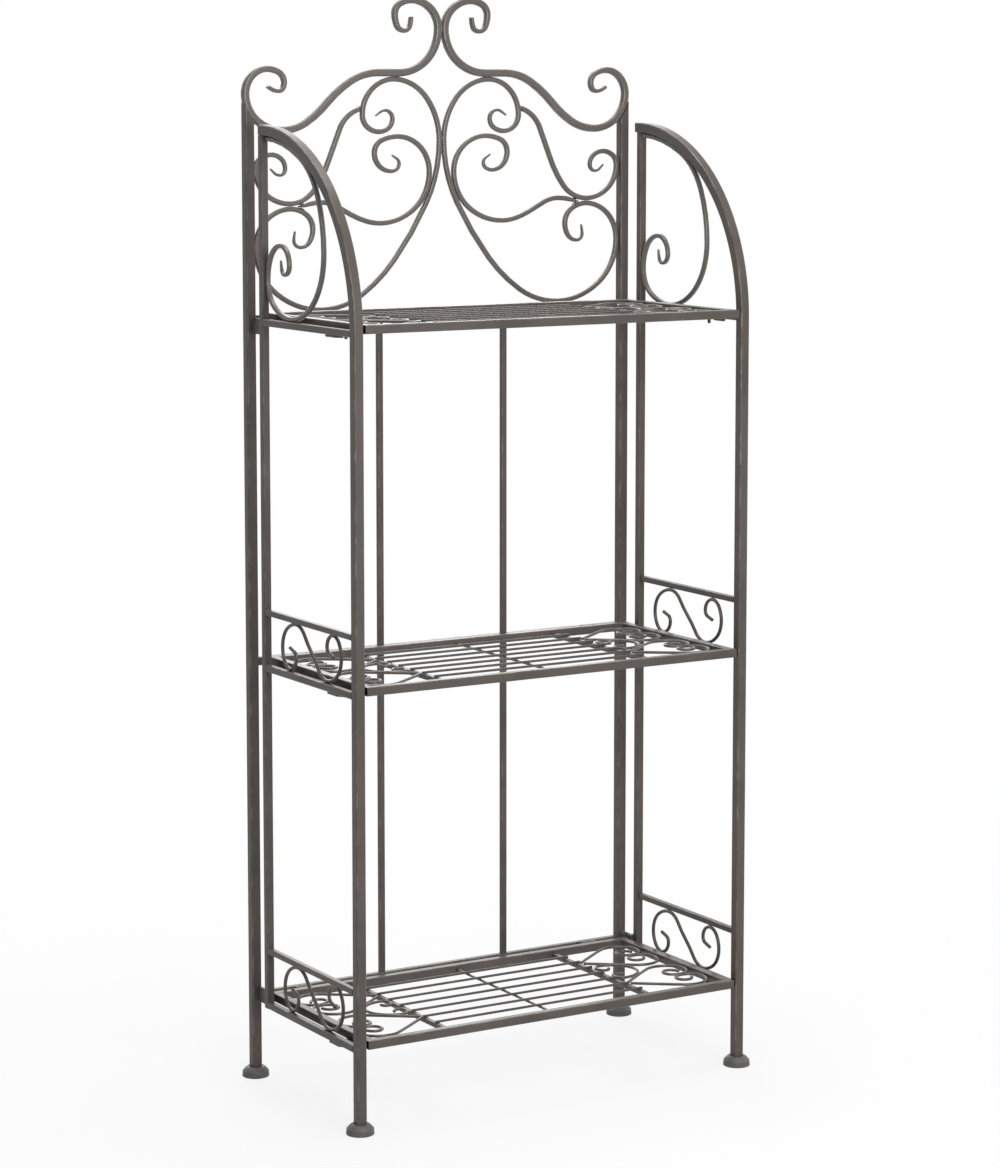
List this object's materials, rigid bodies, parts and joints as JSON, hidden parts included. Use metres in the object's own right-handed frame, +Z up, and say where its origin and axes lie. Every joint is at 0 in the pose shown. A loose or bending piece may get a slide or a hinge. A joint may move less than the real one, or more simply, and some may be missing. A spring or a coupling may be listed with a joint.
{
  "type": "folding shelving unit",
  "caption": "Free-standing folding metal shelving unit with a scrolled back, arched sides and wire shelves that hinge up.",
  "frame": {"origin": "on the floor, in the middle of the feet", "axes": "+Z up, +X to the right along the width, the open front faces -Y"},
  "size_m": [0.545, 0.29, 1.2701],
  "materials": {
    "coated_steel": "brown-grey powder coat, satin",
    "foot_plastic": "matt moulded plastic"
  },
  "bodies": {
    "back_frame": {"back_bars": "coated_steel", "crest_scroll_left": "coated_steel", "crest_scroll_right": "coated_steel", "crossbar_bottom": "coated_steel", "crossbar_middle": "coated_steel", "crossbar_top": "coated_steel", "heart_scroll_left": "coated_steel", "heart_scroll_right": "coated_steel", "inner_scroll_left": "coated_steel", "inner_scroll_right": "coated_steel", "outer_scroll_left": "coated_steel", "outer_scroll_right": "coated_steel", "rear_foot_left": "foot_plastic", "rear_foot_right": "foot_plastic", "rear_post_left": "coated_steel", "rear_post_right": "coated_steel", "shelf_hinge_brackets": "coated_steel", "side_hinge_bracket_left": "coated_steel", "side_hinge_bracket_right": "coated_steel"},
    "left_side": {"arch_post_left": "coated_steel", "arch_scroll_left": "coated_steel", "catch_plates_left": "coated_steel", "front_foot_left": "foot_plastic", "gallery_rails_left": "coated_steel", "gallery_scrolls_left": "coated_steel", "hinge_knuckles_left": "coated_steel", "lower_rails_left": "coated_steel", "stile_left": "coated_steel"},
    "right_side": {"arch_post_right": "coated_steel", "arch_scroll_right": "coated_steel", "catch_plates_right": "coated_steel", "front_foot_right": "foot_plastic", "gallery_rails_right": "coated_steel", "gallery_scrolls_right": "coated_steel", "hinge_knuckles_right": "coated_steel", "lower_rails_right": "coated_steel", "stile_right": "coated_steel"},
    "shelf_top": {"end_scrolls_left_top": "coated_steel", "end_scrolls_right_top": "coated_steel", "hinge_eyes_top": "coated_steel", "lock_pins_top": "coated_steel", "shelf_bars_top": "coated_steel", "shelf_frame_top": "coated_steel", "shelf_wires_top": "coated_steel"},
    "shelf_middle": {"end_scrolls_left_middle": "coated_steel", "end_scrolls_right_middle": "coated_steel", "hinge_eyes_middle": "coated_steel", "lock_pins_middle": "coated_steel", "shelf_bars_middle": "coated_steel", "shelf_frame_middle": "coated_steel", "shelf_wires_middle": "coated_steel"},
    "shelf_bottom": {"end_scrolls_left_bottom": "coated_steel", "end_scrolls_right_bottom": "coated_steel", "hinge_eyes_bottom": "coated_steel", "lock_pins_bottom": "coated_steel", "shelf_bars_bottom": "coated_steel", "shelf_frame_bottom": "coated_steel", "shelf_wires_bottom": "coated_steel"}
  },
  "joints": [
    {"name": "shelf_bottom_fold", "type": "hinge", "parent": "back_frame", "child": "shelf_bottom", "pos_m": [0, 0.113, 0.101], "axis": [-1, 0, 0], "range_deg": [0, 90]},
    {"name": "shelf_middle_fold", "type": "hinge", "parent": "back_frame", "child": "shelf_middle", "pos_m": [0, 0.113, 0.501], "axis": [-1, 0, 0], "range_deg": [0, 90]},
    {"name": "shelf_top_fold", "type": "hinge", "parent": "back_frame", "child": "shelf_top", "pos_m": [0, 0.113, 0.901], "axis": [-1, 0, 0], "range_deg": [0, 90]},
    {"name": "left_side_swing", "type": "hinge", "parent": "back_frame", "child": "left_side", "pos_m": [-0.254, 0.097, 0.506], "axis": [0, 0, 1], "range_deg": [-90, 0]},
    {"name": "right_side_swing", "type": "hinge", "parent": "back_frame", "child": "right_side", "pos_m": [0.254, 0.097, 0.506], "axis": [0, 0, 1], "range_deg": [0, 90]}
  ]
}
